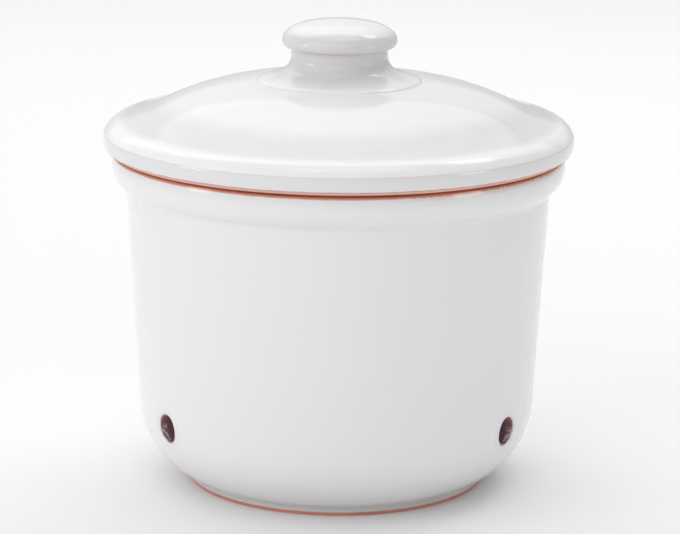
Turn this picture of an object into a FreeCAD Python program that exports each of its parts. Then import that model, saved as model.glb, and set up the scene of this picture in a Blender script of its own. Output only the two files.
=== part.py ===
import FreeCAD, Part
import math
import os

# Garlic keeper: a squat terracotta pot with vents low in its wall, and a loose
# domed lid with a mushroom knob. A coat of glaze covers the outside of both.
# Millimetres, +Z up. The origin is on the pot's axis, in the plane it stands on.
# The front faces -Y. Widths and heights are those of the clay; the glaze lies
# on top of it. Overhangs and insets are measured from the axis outwards.

# Pot, outside, from the foot up
foot_diameter = 94.8
foot_height = 3.9  # the short upright band under the belly
foot_round = 0.5
foot_fillet = 1.2
heel_overhang = 3.9  # the belly's flatter underside, beyond the foot
heel_rise = 1.1
belly_diameter = 126.5
belly_height = 26.0  # where the belly's curve runs into the straight wall
wall_height = 70.4
wall_flare = 4.0  # how far the top of the wall stands out from its bottom
collar_overhang = 4.65
collar_roll = 7.6  # height of the curve under the collar's upright edge
collar_edge = 3.6
collar_fillet = 3.5
rim_round = 1.1

# Pot, inside and underneath
wall_thickness = 6.0
floor_thickness = 6.5
inside_corner = 17.0
mouth_round = 2.0
foot_ring_width = 7.0
foot_recess = 1.8  # how far the underside stands off the table

# Vents
vent_diameter = 8.4
vent_height = 23.8
vent_azimuths = (-57.0, 58.0, 180.5)  # degrees from the front, towards +X

# Glaze
glaze_thickness = 0.5
bare_foot = 0.9  # unglazed height at the bottom of the foot
bare_rim = 1.1  # unglazed height under the pot's rim
bare_lid_edge = 1.4  # unglazed height at the bottom of the lid
vent_draw_back = 0.3  # the glaze stops short of a vent's edge

# Lid, outside, from the seat up
lid_overhang = 2.7  # beyond the collar, where the lid is widest
lid_edge_inset = 1.7
lid_edge_round = 0.8
lid_full_rise = 3.9  # from the lower edge to where the lid is widest
ridge_inset = 0.2
ridge_rise = 1.8
brim_inset = 4.2
brim_rise = 3.4
shoulder_inset = 13.4
shoulder_rise = 4.8
crown_rise = 7.75
crown_slope = 3.0  # degrees, where the dome leaves the crown
crown_margin = 1.0  # flat left round the knob's disc

# Lid, inside
lid_thickness = 6.0
ring_clearance = 1.2  # between the locating ring and the pot's wall, all round
ring_width = 5.5
ring_depth = 9.0
ring_round = 1.5
ring_fillet = 4.0  # between the ring and the underside of the dome

# Knob, from its disc up
disc_edge = 0.8
disc_overhang = 6.85
disc_rise = 2.3
flare_overhang = 3.9
flare_rise = 5.5
neck_diameter = 29.9
neck_height = 3.4
neck_fillet = 1.3
lip_land = 0.1  # flat left under the head, between the fillet and the lip
head_overhang = 1.5
head_rise = 1.5
cap_inset = 1.55
cap_rise = 2.75
top_inset = 4.9
top_rise = 2.2
apex_rise = 1.15

axis_foot = FreeCAD.Vector(0, 0, 0)
up = FreeCAD.Vector(0, 0, 1)
outline_plane = Part.Plane(axis_foot, FreeCAD.Vector(0, -1, 0))
shortest_edge = 0.001  # an offset leaves empty ones between tangent edges

foot_radius = foot_diameter / 2
belly_radius = belly_diameter / 2
wall_top_radius = belly_radius + wall_flare
wall_top_height = belly_height + wall_height
collar_radius = wall_top_radius + collar_overhang
collar_height = wall_top_height + collar_roll
rim_height = collar_height + collar_edge
floor_height = foot_recess + floor_thickness

lid_radius = collar_radius + lid_overhang
seat_height = rim_height  # the lid rests on the pot's rim
ridge_height = seat_height + lid_full_rise + ridge_rise
shoulder_height = ridge_height + brim_rise + shoulder_rise
crown_height = shoulder_height + crown_rise

neck_radius = neck_diameter / 2
disc_radius = neck_radius + flare_overhang + disc_overhang
crown_radius = disc_radius + crown_margin
disc_height = crown_height + disc_edge
lip_height = disc_height + disc_rise + flare_rise + neck_height
apex_height = lip_height + head_rise + cap_rise + top_rise + apex_rise


def at(radius, height):
    """A point of an outline."""
    return FreeCAD.Vector(radius, 0, height)


def line(start, end):
    return Part.LineSegment(start, end).toShape()


def path(*points):
    """Straight edges from point to point."""
    return [line(start, end) for start, end in zip(points, points[1:])]


def leaving(degrees):
    """A direction in the outline's plane; 0 is outwards and 90 is down."""
    angle = math.radians(degrees)
    return FreeCAD.Vector(math.cos(angle), 0, -math.sin(angle))


def tangent_arc(start, direction, end):
    """The arc that leaves start in the given direction and reaches end."""
    chord = end - start
    square = FreeCAD.Vector(direction.z, 0, -direction.x)
    centre = start + square * (chord.dot(chord) / (2 * chord.dot(square)))
    half_way = (start + end) * 0.5 - centre
    middle = centre + half_way.normalize() * (start - centre).Length
    return Part.Arc(start, middle, end).toShape()


def tangent_chain(start, direction, *ends):
    """Arcs from point to point, each one tangent to the arc before it."""
    edges = []
    for end in ends:
        edges.append(tangent_arc(start, direction, end))
        chord = (end - start).normalize()
        direction = chord * (2 * chord.dot(direction)) - direction
        start = end
    return edges


def filleted(first, second, radius):
    """The first edge, the fillet and the second edge, trimmed to meet."""
    corner = first.lastVertex(True).Point
    tool = Part.ChFi2d.FilletAlgo(first, second, outline_plane)
    tool.perform(radius)
    fillet, first, second = tool.result(corner)
    return [first, fillet, second]


def rounded(edges, radii):
    """A chain of edges with a fillet after each edge that has a radius."""
    chain = [edges[0]]
    for radius, edge in zip(radii, edges[1:]):
        if radius:
            chain[-1:] = filleted(chain[-1], edge, radius)
        else:
            chain.append(edge)
    return chain


def wire_of(edges):
    return Part.Wire(Part.sortEdges(edges)[0])


def turned(edges):
    """The solid that a closed outline makes when it turns about the axis."""
    face = Part.Face(wire_of(edges))
    return face.revolve(axis_foot, up, 360)


def glaze_over(edges):
    """The coat on an outline that runs down the outside. As splines, its curves
    can be cut also where a bend's centre lies beyond the axis."""
    strip = wire_of(edges).makeOffset2D(glaze_thickness, fill=True, openResult=True)
    outline = [edge for edge in strip.Edges if edge.Length > shortest_edge]
    return Part.Face(wire_of(outline)).toNurbs().revolve(axis_foot, up, 360)


def vent_pins(radius):
    """A pin through each vent, from well inside the pot to well outside it."""
    pins = []
    for azimuth in vent_azimuths:
        angle = math.radians(azimuth)
        outwards = FreeCAD.Vector(math.sin(angle), -math.cos(angle), 0)
        start = outwards * (belly_radius / 2) + up * vent_height
        pins.append(Part.makeCylinder(radius, belly_radius, start, outwards))
    return pins


def bore_radius(height):
    """The pot's inner wall, which runs parallel to the straight outer one."""
    share = (height - belly_height) / wall_height
    return belly_radius + share * wall_flare - wall_thickness


def pot_outside(top, bottom):
    """The outline from the collar's upright edge down to the foot, between two heights."""
    collar_foot = at(collar_radius, collar_height)
    wall_top = at(wall_top_radius, wall_top_height)
    belly = at(belly_radius, belly_height)
    heel = at(foot_radius + heel_overhang, foot_height + heel_rise)
    foot_top = at(foot_radius, foot_height)
    edges = [line(at(collar_radius, top), collar_foot)]
    edges.append(tangent_arc(collar_foot, leaving(90), wall_top))
    edges.append(line(wall_top, belly))
    edges += tangent_chain(belly, (belly - wall_top).normalize(), heel, foot_top)
    edges.append(line(foot_top, at(foot_radius, bottom)))
    return rounded(edges, [0, collar_fillet, 0, 0, foot_fillet])


def pot_inside():
    """The outline from the middle of the floor up to the rim's outer corner."""
    corner = at(bore_radius(floor_height), floor_height)
    mouth = at(bore_radius(rim_height), rim_height)
    edges = path(at(0, floor_height), corner, mouth, at(collar_radius, rim_height))
    return rounded(edges, [inside_corner, mouth_round])


def pot_underside():
    """The outline from the foot's outer corner in to the axis, and up to the floor."""
    ring_inside = foot_radius - foot_ring_width
    ring = path(at(foot_radius, 0), at(ring_inside, 0), at(ring_inside, foot_recess))
    middle = at(0, foot_recess)
    edges = ring + path(at(ring_inside, foot_recess), middle, at(0, floor_height))
    return rounded(edges, [foot_round, 0, 0])


def make_pot_body():
    inside = pot_inside()
    outside = pot_outside(rim_height, 0)
    underside = pot_underside()
    rim = filleted(inside[-1], outside[0], rim_round)
    foot = filleted(outside[-1], underside[0], foot_round)
    clay = turned(inside[:-1] + rim + outside[1:-1] + foot + underside[1:])
    return clay.cut(vent_pins(vent_diameter / 2))


def make_pot_glaze():
    coat = glaze_over(pot_outside(rim_height - bare_rim, bare_foot))
    return coat.cut(vent_pins(vent_diameter / 2 + vent_draw_back))


def lid_side_radius(height):
    """The lid's side below its widest place, an arc that is upright there."""
    arc_radius = (lid_edge_inset**2 + lid_full_rise**2) / (2 * lid_edge_inset)
    drop = seat_height + lid_full_rise - height
    return lid_radius - arc_radius + math.sqrt(arc_radius**2 - drop**2)


def lid_outside(bottom):
    """The outline from the edge of the crown down the lid's side to a height."""
    ridge_radius = lid_radius - ridge_inset
    brim_radius = ridge_radius - brim_inset
    crown = at(crown_radius, crown_height)
    shoulder = at(brim_radius - shoulder_inset, shoulder_height)
    brim = at(brim_radius, ridge_height + brim_rise)
    ridge = at(ridge_radius, ridge_height)
    widest = at(lid_radius, seat_height + lid_full_rise)
    edges = tangent_chain(crown, leaving(crown_slope), shoulder, brim, ridge)
    edges.append(tangent_arc(widest, leaving(-90), ridge))
    edges.append(tangent_arc(widest, leaving(90), at(lid_side_radius(bottom), bottom)))
    return edges


def lid_inside():
    """The outline from the edge of the crown in to the axis, out again under the
    dome, and round the locating ring to the lid's lower edge."""
    dome_top = at(crown_radius, crown_height - lid_thickness)
    axis = path(at(0, crown_height), at(0, crown_height - lid_thickness), dome_top)
    edges = path(at(crown_radius, crown_height), at(0, crown_height)) + axis
    ring_bottom = seat_height - ring_depth
    ring_outside = bore_radius(seat_height) - ring_clearance
    ring_inside = ring_outside - ring_width
    dome_end = at(ring_inside, shoulder_height - lid_thickness)
    edges.append(tangent_arc(dome_top, leaving(crown_slope), dome_end))
    ring_foot = at(bore_radius(ring_bottom) - ring_clearance, ring_bottom)
    edges += path(dome_end, at(ring_inside, ring_bottom), ring_foot)
    seat = at(ring_outside, seat_height)
    edges += path(ring_foot, seat, at(lid_side_radius(seat_height), seat_height))
    return rounded(edges, [0, 0, 0, ring_fillet, ring_round, ring_round, 0])


def make_lid_shell():
    inside = lid_inside()
    outside = lid_outside(seat_height)
    edge = filleted(inside[-1], outside[-1], lid_edge_round)
    return turned(inside[:-1] + edge + outside[:-1])


def knob_outside():
    """The outline from the top of the knob down to the edge of its disc."""
    lip_radius = neck_radius + neck_fillet + lip_land
    head_radius = lip_radius + head_overhang
    head_height = lip_height + head_rise
    cap_radius = head_radius - cap_inset
    apex = at(0, apex_height)
    top = at(cap_radius - top_inset, apex_height - apex_rise)
    cap = at(cap_radius, head_height + cap_rise)
    lip = at(lip_radius, lip_height)
    head = tangent_chain(apex, leaving(0), top, cap, at(head_radius, head_height), lip)
    neck = at(neck_radius, lip_height - neck_height)
    throat = path(lip, at(neck_radius, lip_height), neck)
    flare = at(neck_radius + flare_overhang, disc_height + disc_rise)
    disc = at(disc_radius, disc_height)
    foot = tangent_chain(neck, leaving(90), flare, disc)
    edge = path(disc, at(disc_radius, crown_height))
    return rounded(head + throat + foot + edge, [0, 0, 0, 0, neck_fillet, 0, 0, 0])


def make_lid_knob():
    middle = at(0, crown_height)
    axis = path(at(disc_radius, crown_height), middle, at(0, apex_height))
    return turned(knob_outside() + axis)


def make_lid_glaze():
    crown = path(at(disc_radius, crown_height), at(crown_radius, crown_height))
    return glaze_over(knob_outside() + crown + lid_outside(seat_height + bare_lid_edge))


parts = {
    "pot_body": make_pot_body(),
    "pot_glaze": make_pot_glaze(),
    "lid_shell": make_lid_shell(),
    "lid_knob": make_lid_knob(),
    "lid_glaze": make_lid_glaze(),
}

os.makedirs("parts", exist_ok=True)
for name, part in parts.items():
    part.exportStep("parts/" + name + ".step")
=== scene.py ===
import math

import bpy
from mathutils import Euler, Matrix, Vector


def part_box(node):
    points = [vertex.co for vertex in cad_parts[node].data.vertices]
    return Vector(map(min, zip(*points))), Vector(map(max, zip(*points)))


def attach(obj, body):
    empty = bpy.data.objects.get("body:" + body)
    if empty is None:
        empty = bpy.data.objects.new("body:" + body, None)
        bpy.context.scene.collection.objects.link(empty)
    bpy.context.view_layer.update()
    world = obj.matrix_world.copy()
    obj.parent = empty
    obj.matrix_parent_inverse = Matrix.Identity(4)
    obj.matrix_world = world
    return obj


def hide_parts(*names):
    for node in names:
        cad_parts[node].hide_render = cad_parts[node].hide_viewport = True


# Garlic keeper: turned clay, a coat of white glaze over its outside, and vents
# pierced low in the wall. Radii, heights and other lengths are in millimetres
# from the middle of the pot's foot, and angles in degrees.

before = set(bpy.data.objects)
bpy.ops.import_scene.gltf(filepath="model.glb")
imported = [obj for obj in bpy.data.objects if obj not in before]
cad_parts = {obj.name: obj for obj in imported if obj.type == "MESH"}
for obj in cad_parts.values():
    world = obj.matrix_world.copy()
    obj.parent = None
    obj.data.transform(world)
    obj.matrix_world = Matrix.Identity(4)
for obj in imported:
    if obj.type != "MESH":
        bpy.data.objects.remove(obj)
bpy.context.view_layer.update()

mm = 0.001

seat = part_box("pot_body")[1].z / mm  # the pot's rim, where the lid rests
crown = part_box("lid_shell")[1].z / mm  # top of the dome, under the knob
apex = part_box("lid_glaze")[1].z / mm  # top of the knob's glaze

facets = {
    "around": 256,  # round the axis
    "bendAngle": 6,  # turn of one facet along a bend
    "longest": 2.5,  # along a line or a bend
    "weldDistance": 0.002,
    "smoothAngle": 40,  # an edge that turns more than this stays sharp
}


def startOutline(name, radius, height):
    # a plane merged to one vertex, which is then drawn out
    bpy.ops.object.select_all(action="DESELECT")
    bpy.ops.mesh.primitive_plane_add(size=mm)
    piece = bpy.context.object
    piece.name = piece.data.name = name
    bpy.ops.object.mode_set(mode="EDIT")
    bpy.ops.mesh.merge(type="CENTER")
    bpy.ops.transform.translate(value=(radius * mm, 0, height * mm))
    return piece


def drawLine(chord):
    parts = max(1, math.ceil(chord.length / (facets["longest"] * mm)))
    for part in range(parts):
        bpy.ops.mesh.extrude_vertices_move(TRANSFORM_OT_translate={"value": chord / parts})


def drawBend(here, heading, chord):
    # an arc that leaves along heading; returns the heading at its end
    side = Vector((heading.z, 0, -heading.x))
    turn = 2 * math.atan2(chord.dot(side), chord.dot(heading))
    centre = here + side * (chord.length_squared / (2 * chord.dot(side)))
    length = abs(turn) * (here - centre).length
    byAngle = abs(turn) / math.radians(facets["bendAngle"])
    byLength = length / (facets["longest"] * mm)
    steps = math.ceil(max(byAngle, byLength, 2))
    bpy.ops.mesh.spin(steps=steps, angle=-turn, center=centre, axis=(0, 1, 0))
    return Matrix.Rotation(turn, 3, "Y") @ heading


def drawOutline(name, outline):
    # lines and bends are given by where they end; a bend runs on smoothly from
    # what comes before it, or from the angle that an aim gives
    start, *steps = outline
    piece = startOutline(name, *start)
    here = Vector((start[0], 0, start[1])) * mm
    heading = Vector((1, 0, 0))
    for kind, *numbers in steps:
        if kind == "aim":
            angle = math.radians(numbers[0])
            heading = Vector((math.cos(angle), 0, math.sin(angle)))
            continue
        there = Vector((numbers[0], 0, numbers[1])) * mm
        if kind == "line":
            drawLine(there - here)
            heading = (there - here).normalized()
        else:
            heading = drawBend(here, heading, there - here)
        here = there
    return piece


def turnOutline(steps):
    bpy.ops.mesh.select_all(action="SELECT")
    bpy.ops.mesh.spin(steps=steps, angle=math.tau, center=(0, 0, 0), axis=(0, 0, 1))
    bpy.ops.mesh.select_all(action="SELECT")
    bpy.ops.mesh.remove_doubles(threshold=facets["weldDistance"] * mm)
    bpy.ops.mesh.normals_make_consistent(inside=False)


def makePiece(name, outline, steps=facets["around"]):
    piece = drawOutline(name, outline)
    turnOutline(steps)
    bpy.ops.object.mode_set(mode="OBJECT")
    return piece


def pickOut(*pieces):
    bpy.ops.object.select_all(action="DESELECT")
    for piece in pieces:
        piece.select_set(True)
    bpy.context.view_layer.objects.active = pieces[-1]


def applyModifier(piece, kind, **settings):
    pickOut(piece)
    bpy.ops.object.modifier_add(type=kind)
    modifier = piece.modifiers[-1]
    for setting, value in settings.items():
        setattr(modifier, setting, value)
    bpy.ops.object.modifier_apply(modifier=modifier.name)


def makeCoat(name, outline, thickness):
    # the outline is the coat's outside, and its thickness goes inwards
    piece = makePiece(name, outline)
    applyModifier(piece, "SOLIDIFY", thickness=thickness * mm, offset=-1)
    return piece


def finishPiece(piece, finish, body, node):
    pickOut(piece)
    bpy.ops.object.shade_smooth_by_angle(angle=math.radians(facets["smoothAngle"]))
    piece.data.materials.clear()
    piece.data.materials.append(finish.material)
    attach(piece, body)
    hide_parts(node)


class Wire:
    # a node's output that Python's operators work on
    def __init__(self, nodes, socket):
        self.nodes = nodes
        self.socket = socket

    def maths(self, operation, *values):
        settings = {"operation": operation}
        return self.nodes.node("ShaderNodeMath", settings, dict(enumerate(values)))

    def __add__(self, other):
        return self.maths("ADD", self, other)

    __radd__ = __add__

    def __sub__(self, other):
        return self.maths("SUBTRACT", self, other)

    def __rsub__(self, other):
        return self.maths("SUBTRACT", other, self)

    def __mul__(self, other):
        return self.maths("MULTIPLY", self, other)

    __rmul__ = __mul__

    def root(self):
        return self.maths("SQRT", self)

    def least(self, other):
        return self.maths("MINIMUM", self, other)

    def most(self, other):
        return self.maths("MAXIMUM", self, other)

    def rising(self, low, high):
        # 0 up to low and 1 from high on, smoothly
        settings = {"interpolation_type": "SMOOTHSTEP"}
        inputs = {"Value": self, "From Min": low, "From Max": high}
        return self.nodes.node("ShaderNodeMapRange", settings, inputs)

    def falling(self, low, high):
        return 1 - self.rising(low, high)

    def between(self, rise, fall):
        return self.rising(*rise) * self.falling(*fall)


def hypotenuse(first, second):
    # the distance of a point that lies so far along two directions at right angles
    return (first * first + second * second).root()


class Nodes:
    # adds nodes to the tree of a material or of the world
    def __init__(self, tree):
        self.tree = tree

    def node(self, kind, settings, inputs, output=0):
        made = self.tree.nodes.new(kind)
        for setting, value in settings.items():
            setattr(made, setting, value)
        for socket, value in inputs.items():
            if isinstance(value, Wire):
                self.tree.links.new(value.socket, made.inputs[socket])
            else:
                made.inputs[socket].default_value = value
        return Wire(self, made.outputs[output])

    def axis(self, vector, letter):
        return self.node("ShaderNodeSeparateXYZ", {}, {"Vector": vector}, letter)


class Finish(Nodes):
    # a material on one Principled shader, with its places in millimetres
    def __init__(self, name, **constants):
        self.material = bpy.data.materials.new(name)
        self.material.use_nodes = True
        super().__init__(self.material.node_tree)
        self.shader = self.tree.nodes["Principled BSDF"]
        for socket, value in constants.items():
            self.shader.inputs[socket].default_value = value
        place = self.node("ShaderNodeTexCoord", {}, {}, "Object")
        inputs = {"Vector": place, "Scale": 1 / mm}
        self.place = self.node("ShaderNodeVectorMath", {"operation": "SCALE"}, inputs)
        self.x, self.y, self.z = (self.axis(self.place, letter) for letter in "XYZ")
        self.radius = hypotenuse(self.x, self.y)

    def feed(self, socket, wire):
        self.tree.links.new(wire.socket, self.shader.inputs[socket])

    def noise(self, size, detail, stretch=(1, 1, 1)):
        # blotches of about that size, 0.5 on average
        inputs = {0: self.place, 1: stretch}
        place = self.node("ShaderNodeVectorMath", {"operation": "MULTIPLY"}, inputs)
        inputs = {"Vector": place, "Scale": 1 / size, "Detail": detail}
        return self.node("ShaderNodeTexNoise", {}, inputs)

    def waver(self, size, reach, detail):
        # the same about 0, to make an edge wander
        return (self.noise(size, detail) - 0.5) * reach

    def mixColour(self, share, first, second):
        # 6 and 7 are the colours among the Mix node's inputs, and 2 is its colour out
        settings = {"data_type": "RGBA", "clamp_factor": True}
        return self.node("ShaderNodeMix", settings, {0: share, 6: first, 7: second}, 2)

    def relief(self, height, depth):
        inputs = {"Height": height, "Strength": 1.0, "Distance": depth * mm}
        self.feed("Normal", self.node("ShaderNodeBump", {}, inputs))


vents = {
    "azimuths": (-57.0, 58.0, 180.5),  # from the front, towards +X
    "height": 23.8,
    "wall": 63.2,  # radius of the clay's outside there
    "facets": 64,
    # radius and height over the wall of a plug that points outwards and flares there
    "plug": [
        (0, -12),
        ("line", 4.2, -12),
        ("line", 4.2, -0.9),
        ("bend", 5.1, 0.6),
        ("line", 5.1, 3.0),
        ("line", 0, 3.0),
    ],
    "tooFar": 1000,  # added where a vent is on the other side of the pot
}


def makePlugs(spread):
    plugs = []
    for azimuth in vents["azimuths"]:
        angle = math.radians(azimuth)
        plug = makePiece("ventPlug", vents["plug"], vents["facets"])
        plug.scale = (spread, spread, 1)
        plug.rotation_euler = (math.pi / 2, 0, angle)  # laid forwards, then turned
        outward = Vector((math.sin(angle), -math.cos(angle), 0))
        plug.location = (outward * vents["wall"] + Vector((0, 0, vents["height"]))) * mm
        plugs.append(plug)
    pickOut(*plugs)
    bpy.ops.object.join()
    bpy.ops.object.transform_apply(location=True, rotation=True, scale=True)
    return bpy.context.object


def cutVents(piece, spread):
    plugs = makePlugs(spread)
    applyModifier(piece, "BOOLEAN", object=plugs, operation="DIFFERENCE", solver="EXACT")
    bpy.data.objects.remove(plugs)


def ventDistance(finish):
    # how far a point lies from the axis of the nearest vent
    nearest = vents["tooFar"]
    rise = finish.z - vents["height"]
    for azimuth in vents["azimuths"]:
        sine, cosine = math.sin(math.radians(azimuth)), math.cos(math.radians(azimuth))
        aside = finish.x * cosine + finish.y * sine
        ahead = finish.x * sine - finish.y * cosine
        behind = ahead.falling(0, 1) * vents["tooFar"]
        nearest = (hypotenuse(aside, rise) + behind).least(nearest)
    return nearest


# In what follows, a pair of numbers gives the two ends of a fade, and a share says
# how much of a colour shows where it is strongest.

clayLook = {
    "pale": (0.74, 0.19, 0.085, 1),
    "deep": (0.56, 0.13, 0.06, 1),
    "crackShadow": (0.085, 0.035, 0.035, 1),
    "shadedBore": (0.23, 0.14, 0.17, 1),
    "residue": (0.80, 0.72, 0.70, 1),
    "roughness": 0.85,
    "patchSize": 14,
    "grainSize": 0.7,
    "grainShare": 0.4,
    "patchContrast": (0.3, 0.7),
    # painted shade inside the vents, darker deeper in: from the vent's axis, and inwards
    # from the wall
    "boreWidth": (4.7, 5.2),
    "boreShadeDepth": (-1.0, 0.5),
    "boreShadeShare": 0.9,
    # specks of glaze in the lower half of a vent's mouth
    "speckDepth": (1.6, 2.4),
    "speckHeight": (vents["height"] - 0.5, vents["height"] + 1.0),
    "speckSize": 1.6,
    "speckContrast": (0.4, 0.52),
    "speckShare": 0.8,
    "speckGloss": 0.6,
    # painted shadow in the crack between rim and lid, and the haze of glaze on the lid's
    # edge over it
    "edgeRadius": (69, 70),
    "crackStart": (seat - 0.5, seat - 0.2),
    "crackEnd": (seat + 0.1, seat + 0.4),
    "crackShadowShare": 0.85,
    "hazeHeight": (seat + 0.2, seat + 0.6),
    "hazeShare": 0.55,
    "dustHeight": (1.4, 2.2),
    "dustShare": 0.2,
    # turning rings and grain
    "ringSize": 6,
    "ringStretch": (0.05, 0.05, 6),
    "ringShare": 2,
    "depth": 0.08,
}


def makeTerracotta():
    # painted shade deeper in the vents and a painted shadow in the crack under the lid,
    # with specks of glaze at the mouths of the vents, a haze of it on the lid's edge, and
    # a dusty foot
    look = clayLook
    finish = Finish("terracotta")
    grain = finish.noise(look["grainSize"], detail=3)
    patches = finish.noise(look["patchSize"], detail=4) * (1 - look["grainShare"])
    patches = patches + grain * look["grainShare"]
    patches = patches.rising(*look["patchContrast"])
    clay = finish.mixColour(patches, look["deep"], look["pale"])

    depth = vents["wall"] - finish.radius
    shadedBore = ventDistance(finish).falling(*look["boreWidth"])
    # painted shade: the clay darkens deeper in the vents
    boreShade = shadedBore * depth.rising(*look["boreShadeDepth"]) * look["boreShadeShare"]
    clay = finish.mixColour(boreShade, clay, look["shadedBore"])

    edge = finish.radius.rising(*look["edgeRadius"])
    # painted shadow: a dark band in the crack between rim and lid
    crackShadowBand = finish.z.between(look["crackStart"], look["crackEnd"])
    clay = finish.mixColour(crackShadowBand * edge * look["crackShadowShare"], clay, look["crackShadow"])
    haze = finish.z.rising(*look["hazeHeight"]) * edge * look["hazeShare"]
    clay = finish.mixColour(haze, clay, look["residue"])

    mouth = depth.falling(*look["speckDepth"]) * finish.z.falling(*look["speckHeight"])
    specks = finish.noise(look["speckSize"], detail=3).rising(*look["speckContrast"])
    specks = shadedBore * mouth * specks * look["speckShare"]
    dust = finish.z.falling(*look["dustHeight"]) * look["dustShare"]
    clay = finish.mixColour(specks.most(dust), clay, look["residue"])
    finish.feed("Base Color", clay)
    finish.feed("Roughness", look["roughness"] - specks * look["speckGloss"])

    rings = finish.noise(look["ringSize"], detail=2, stretch=look["ringStretch"])
    finish.relief(grain + rings * look["ringShare"], look["depth"])
    return finish


terracotta = makeTerracotta()
print("terracotta mixed")


glazeLook = {
    "white": (0.86, 0.86, 0.865, 1),
    "halo": (0.76, 0.76, 0.87, 1),
    # a dimmer white: painted shade low on the belly, in the dome's hollow and on the lid's
    # side, and darker on the knob
    "dimmed": (0.72, 0.705, 0.72, 1),
    # painted light on the brim
    "brimLightWhite": (0.94, 0.94, 0.945, 1),
    # painted shade in the hollow over the foot
    "shadeGrey": (0.56, 0.57, 0.54, 1),
    "thin": (0.66, 0.30, 0.21, 1),  # where the clay shows through
    "roughness": 0.11,
    "refraction": 1.5,
    "waveSize": 9,
    "waveDepth": 0.05,
}


def makeGlaze(name, tint, thinness):
    # tint gives the coat's colour with its painted shade and painted light, and thinness 1
    # where the clay shows through
    look = glazeLook
    finish = Finish(name, Roughness=look["roughness"], IOR=look["refraction"])
    colour = finish.mixColour(thinness(finish), tint(finish), look["thin"])
    finish.feed("Base Color", colour)
    finish.relief(finish.noise(look["waveSize"], detail=1), look["waveDepth"])
    return finish


potClay = {
    "ventSpread": 1.0,
    "outline": [
        (0, 8.3),
        ("line", 40.18, 8.3),
        ("bend", 57.155, 24.336),
        ("line", 61.779, 105.713),
        ("bend", 63.776, seat),
        ("line", 70.8, seat),
        ("bend", 71.9, seat - 1.1),
        ("line", 71.9, 104.0),
        ("bend", 68.526, 97.202),
        ("bend", 67.148, 94.613),
        ("line", 63.25, 26.0),
        ("bend", 51.3, 5.0),
        ("bend", 48.456, 3.941),
        ("bend", 47.4, 2.749),
        ("line", 47.4, 0.5),
        ("bend", 46.9, 0.0),
        ("line", 40.9, 0.0),
        ("bend", 40.4, 0.5),
        ("line", 40.4, 1.8),
        ("line", 0, 1.8),
    ],
}


def makePotClay():
    piece = makePiece("potClay", potClay["outline"])
    cutVents(piece, potClay["ventSpread"])
    finishPiece(piece, terracotta, "pot", "pot_body")


makePotClay()
print("pot's clay made")


potCoat = {
    "thickness": 0.35,
    "ventSpread": 1.03,  # the glaze stands back a little from a vent's edge
    "outline": [
        (71.93, 106.8),
        ("aim", -74),
        ("bend", 72.4, 103.6),
        ("aim", -90),
        ("line", 72.4, 103.5),
        ("bend", 68.829, 96.804),
        ("bend", 67.648, 94.585),
        ("line", 63.749, 25.972),
        ("bend", 51.579, 4.585),
        ("bend", 49.6, 3.75),
        ("bend", 47.9, 1.658),
        ("line", 47.9, 1.4),
        ("bend", 47.4, 0.9),
    ],
    # painted shade: darker low on the belly, and grey in the hollow over the foot
    "bellyShadeHeight": (1.5, 22.0),
    "bellyShadeShare": 0.85,
    "hollowShadeHeight": (2.2, 4.2),
    "hollowShadeShare": 0.5,
    "haloWidth": (4.6, 8.5),
    "haloShare": 0.5,
    # the bare edges at rim and foot; the rim's is ragged on the right
    "edgeSize": 6,
    "edgeWaver": 0.4,
    "raggedSide": (10, 40),
    "raggedSize": 0.8,
    "raggedWaver": 1.6,
    "rimHeight": (106.0, 106.5),
    "featherHeight": (104.8, 106.3),
    "featherShare": 0.35,
    "footHeight": (0.95, 1.4),
    # the lips of the vents, where more clay shows at the bottom
    "lipWidth": (4.5, 5.3),
    "lipSize": 1.5,
    "lipContrast": (0.4, 0.6),
    "lipShare": 0.15,
    "lowLipHeight": (vents["height"] - 2.5, vents["height"]),
    "lowLipShare": 0.45,
}


def potTint(finish):
    # painted shade: darker low on the belly
    bellyShade = finish.z.falling(*potCoat["bellyShadeHeight"]) * potCoat["bellyShadeShare"]
    tint = finish.mixColour(bellyShade, glazeLook["white"], glazeLook["dimmed"])
    # painted shade: grey in the hollow over the foot
    hollowShade = finish.z.falling(*potCoat["hollowShadeHeight"]) * potCoat["hollowShadeShare"]
    tint = finish.mixColour(hollowShade, tint, glazeLook["shadeGrey"])
    halo = ventDistance(finish).falling(*potCoat["haloWidth"]) * potCoat["haloShare"]
    return finish.mixColour(halo, tint, glazeLook["halo"])


def potThinness(finish):
    height = finish.z + finish.waver(potCoat["edgeSize"], potCoat["edgeWaver"], detail=2)
    right = finish.x.rising(*potCoat["raggedSide"])
    ragged = finish.waver(potCoat["raggedSize"], potCoat["raggedWaver"], detail=3)
    ragged = height + ragged * right
    feather = ragged.rising(*potCoat["featherHeight"]) * right * potCoat["featherShare"]
    rim = ragged.rising(*potCoat["rimHeight"]).most(feather)
    foot = height.falling(*potCoat["footHeight"])

    lip = ventDistance(finish).falling(*potCoat["lipWidth"])
    lip = lip * finish.noise(potCoat["lipSize"], detail=3).rising(*potCoat["lipContrast"])
    low = finish.z.falling(*potCoat["lowLipHeight"]) * potCoat["lowLipShare"]
    return rim.most(foot).most(lip * (low + potCoat["lipShare"]))


def makePotCoat():
    piece = makeCoat("potCoat", potCoat["outline"], potCoat["thickness"])
    cutVents(piece, potCoat["ventSpread"])
    white = makeGlaze("potWhite", potTint, potThinness)
    finishPiece(piece, white, "pot", "pot_glaze")


makePotCoat()
print("pot's glaze made")


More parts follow.
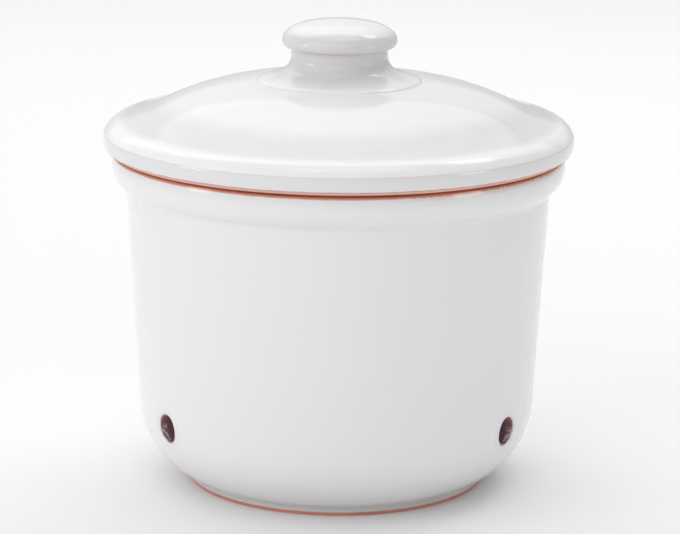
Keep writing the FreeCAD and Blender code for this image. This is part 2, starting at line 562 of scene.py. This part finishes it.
lidClay = {
    "outline": [
        (0, crown),
        ("line", 26.7, crown),
        ("aim", -3),
        ("bend", 56.8, 121.5),
        ("bend", 70.2, 116.7),
        ("bend", 74.4, 113.3),
        ("aim", -77.3),
        ("bend", 74.6, 111.5),
        ("bend", 73.153, 107.852),
        ("bend", 72.571, seat),
        ("line", 60.686, seat),
        ("line", 60.255, 100.015),
        ("bend", 58.758, 98.6),
        ("line", 56.686, 98.6),
        ("bend", 55.186, 100.1),
        ("line", 55.186, 113.02),
        ("bend", 52.898, 116.635),
        ("bend", 26.7, crown - 6.0),
        ("line", 0, crown - 6.0),
    ],
}


def makeLidClay():
    piece = makePiece("lidClay", lidClay["outline"])
    finishPiece(piece, terracotta, "lid", "lid_shell")


makeLidClay()
print("lid's clay made")


knobClay = {
    "outline": [
        (0, crown),
        ("line", 25.7, crown),
        ("line", 25.7, crown + 0.8),
        ("aim", 162.5),
        ("bend", 18.85, 132.35),
        ("bend", 14.95, 137.85),
        ("line", 14.95, 139.95),
        ("bend", 16.25, 141.25),
        ("line", 16.35, 141.25),
        ("bend", 17.85, 142.75),
        ("bend", 16.3, 145.5),
        ("bend", 11.4, 147.7),
        ("bend", 0, 148.85),
    ],
}


def makeKnobClay():
    piece = makePiece("knobClay", knobClay["outline"])
    finishPiece(piece, terracotta, "lid", "lid_knob")


makeKnobClay()
print("knob's clay made")


lidCoat = {
    "thickness": 0.35,
    "outline": [
        (0, apex),
        ("bend", 11.5, 148.19),
        ("bend", 16.6, 145.9),
        ("bend", 18.348, 142.799),
        ("bend", 16.327, 140.75),
        ("line", 16.25, 140.75),
        ("bend", 15.45, 139.95),
        ("line", 15.45, 137.85),
        ("bend", 19.015, 132.822),
        ("bend", 24.9, 130.84),
        ("bend", 26.3, 129.77),
        ("aim", -3),
        ("bend", 57.018, 121.95),
        ("bend", 70.317, 117.186),
        ("bend", 74.851, 113.516),
        ("bend", 74.888, 113.41),
        ("bend", 75.07, 111.5),
        ("bend", 74.48, 108.95),
        ("line", 74.1, 108.8),
    ],
    # darker on the knob, and painted shade in the hollow of the dome and on the lid's side
    "knobStart": (130.5, 133.0),
    "knobEnd": (145.0, 147.5),
    "knobShare": 0.9,
    "hollowShadeStart": (51.0, 60.0),
    "hollowShadeEnd": (67.0, 71.0),
    "hollowShadeShare": 0.7,
    "sideShadeHeight": (113.3, 113.6),
    "sideShadeShare": 0.4,
    # painted light: brighter on the brim
    "brimLightRadius": (68.8, 72.0),
    "brimLightHeight": (113.4, 113.7),
    "brimLightShare": 0.6,
    # thin at the bare lower edge, on the ridge and under the knob's head
    "edgeSize": 5,
    "edgeWaver": 0.5,
    "edgeHeight": (108.9, 109.3),
    "ridgePlace": (74.85, 113.45),
    "ridgeWaver": 0.3,
    "ridgeWidth": (0.1, 0.45),
    "ridgeShare": 0.15,
    "headStart": (140.0, 140.6),
    "headEnd": (140.7, 141.3),
    "headRadius": (16.3, 17.0),
    "headShare": 0.2,
}


def lidTint(finish):
    knob = finish.z.between(lidCoat["knobStart"], lidCoat["knobEnd"])
    # painted shade: darker in the hollow of the dome
    hollowShade = finish.radius.between(lidCoat["hollowShadeStart"], lidCoat["hollowShadeEnd"])
    # painted shade: darker on the lid's side, below the ridge
    side = finish.z.falling(*lidCoat["sideShadeHeight"]) * lidCoat["sideShadeShare"]
    dimmed = (knob * lidCoat["knobShare"]).most(hollowShade * lidCoat["hollowShadeShare"]).most(side)
    tint = finish.mixColour(dimmed, glazeLook["white"], glazeLook["dimmed"])
    # painted light: a brighter white on the brim
    brimLight = finish.radius.rising(*lidCoat["brimLightRadius"])
    brimLight = brimLight * finish.z.rising(*lidCoat["brimLightHeight"]) * lidCoat["brimLightShare"]
    return finish.mixColour(brimLight, tint, glazeLook["brimLightWhite"])


def lidThinness(finish):
    waver = finish.waver(lidCoat["edgeSize"], lidCoat["edgeWaver"], detail=3)
    edge = (finish.z + waver).falling(*lidCoat["edgeHeight"])

    radius, height = lidCoat["ridgePlace"]
    ridge = hypotenuse(finish.radius - radius, finish.z - height)
    ridge = (ridge + waver * lidCoat["ridgeWaver"]).falling(*lidCoat["ridgeWidth"])

    head = finish.z.between(lidCoat["headStart"], lidCoat["headEnd"])
    head = head * finish.radius.falling(*lidCoat["headRadius"])
    return edge.most(ridge * lidCoat["ridgeShare"]).most(head * lidCoat["headShare"])


def makeLidCoat():
    piece = makeCoat("lidCoat", lidCoat["outline"], lidCoat["thickness"])
    white = makeGlaze("lidWhite", lidTint, lidThinness)
    finishPiece(piece, white, "lid", "lid_glaze")


makeLidCoat()
print("lid's glaze made")


# Places and sizes in the studio are in metres.

studio = {
    "floorColour": (0.95, 0.95, 0.95, 1),
    "floorRoughness": 0.9,
    "floorSize": 8.0,
    "skyColour": (1, 1, 1, 1),
    "skyStrength": 0.58,
    "skyFall": 0.18,  # brighter by this at -X, and dimmer by it at +X
    "target": (0, 0, 0.09),
    "distance": 1.4,
    # name: angle from the front towards +X, angle above level, width, height, watts
    "lamps": {
        "wallLamp": (-170, 20, 2.8, 0.45, 1.2),
        "lowBackLamp": (178, 36.1, 2.4, 0.36, 1.9),
        "midBackLamp": (178, 49.6, 2.2, 0.31, 2.2),
        "highBackLamp": (178, 62, 2.0, 0.31, 3.0),
        "topLamp": (20, 82, 0.9, 0.5, 1.6),
        "frontLamp": (-8, 32, 1.2, 0.6, 2.1),
        "highLamp": (-60, 30, 0.8, 0.8, 1.3),
        "farLamp": (125, 55, 0.5, 0.3, 1.2),
        "leftLamp": (-71, 10, 0.35, 0.3, 1.2),
        "rightLamp": (66, 7, 0.4, 0.18, 0.7),
    },
}


def makeFloor():
    bpy.ops.object.select_all(action="DESELECT")
    bpy.ops.mesh.primitive_plane_add(size=studio["floorSize"])
    floor = bpy.context.object
    floor.name = "floor"
    paper = bpy.data.materials.new("floorPaper")
    paper.use_nodes = True
    shader = paper.node_tree.nodes["Principled BSDF"]
    shader.inputs["Base Color"].default_value = studio["floorColour"]
    shader.inputs["Roughness"].default_value = studio["floorRoughness"]
    floor.data.materials.append(paper)


def makeSky():
    world = bpy.data.worlds.new("studio")
    bpy.context.scene.world = world
    world.use_nodes = True
    sky = Nodes(world.node_tree)
    across = sky.axis(sky.node("ShaderNodeTexCoord", {}, {}, "Generated"), "X")
    strength = studio["skyStrength"] - across * studio["skyFall"]
    light = world.node_tree.nodes["Background"]
    light.inputs["Color"].default_value = studio["skyColour"]
    world.node_tree.links.new(strength.socket, light.inputs["Strength"])


def makeLamps():
    # each hangs at the same distance from the target and faces it
    target = Vector(studio["target"])
    for name, (azimuth, rise, width, height, watts) in studio["lamps"].items():
        turn = Euler((math.radians(90 - rise), 0, math.radians(azimuth)))
        place = target + turn.to_matrix() @ Vector((0, 0, studio["distance"]))
        bpy.ops.object.light_add(type="AREA", location=place, rotation=turn)
        lamp = bpy.context.object
        lamp.name = name
        lamp.data.shape = "RECTANGLE"
        lamp.data.size = width
        lamp.data.size_y = height
        lamp.data.energy = watts


cameraView = {
    "place": (0, -1.0, 0.307003),
    # the next three are in radians
    "down": 0.233905,
    "turn": -0.000798,  # negative is to the right
    "roll": 0.010241,
    # focal length, and the sensor's width
    "lens": 168.866,
    "sensor": 36.0,
    "viewTransform": "Standard",
}


def makeCamera():
    level = Euler((math.pi / 2 - cameraView["down"], 0, cameraView["turn"])).to_matrix()
    rolled = level @ Matrix.Rotation(cameraView["roll"], 3, "Z")
    bpy.ops.object.camera_add(location=cameraView["place"], rotation=rolled.to_euler())
    camera = bpy.context.object
    camera.data.sensor_width = cameraView["sensor"]
    camera.data.lens = cameraView["lens"]
    bpy.context.scene.camera = camera
    bpy.context.scene.view_settings.view_transform = cameraView["viewTransform"]


makeFloor()
makeSky()
makeLamps()
makeCamera()
print("studio ready")
